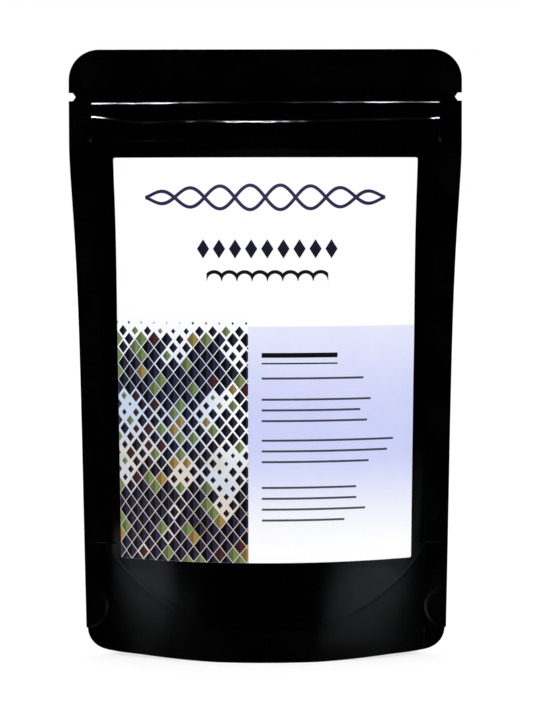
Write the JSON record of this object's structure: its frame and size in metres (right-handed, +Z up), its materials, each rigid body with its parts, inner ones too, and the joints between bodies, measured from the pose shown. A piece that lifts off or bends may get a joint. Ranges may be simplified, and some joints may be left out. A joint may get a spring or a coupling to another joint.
{
  "type": "stand-up pouch",
  "caption": "Stand-up film pouch with a press-to-close zip, tear notches, folded bottom gusset and a plain printed front label, sealed around dried contents.",
  "frame": {"origin": "on the floor, under the middle of the pouch: the centre of the bottom of its box", "axes": "+Z up, the label and front face -Y, +X runs to the right of the label as seen from the front"},
  "size_m": [0.13, 0.0412, 0.201],
  "materials": {
    "black_film": "satin black laminated film with a fine grain",
    "gusset_film": "satin black laminated film",
    "zip_plastic": "milky natural extruded plastic",
    "label_paper": null,
    "dried_berries": "matt, wrinkled, blue-black"
  },
  "bodies": {
    "root": {"front_panel": "black_film", "back_panel": "black_film", "bottom_gusset": "gusset_film", "zip_groove_strip": "zip_plastic", "zip_rib_strip": "zip_plastic", "label": "label_paper", "dried_berry_fill": "dried_berries"}
  },
  "joints": []
}
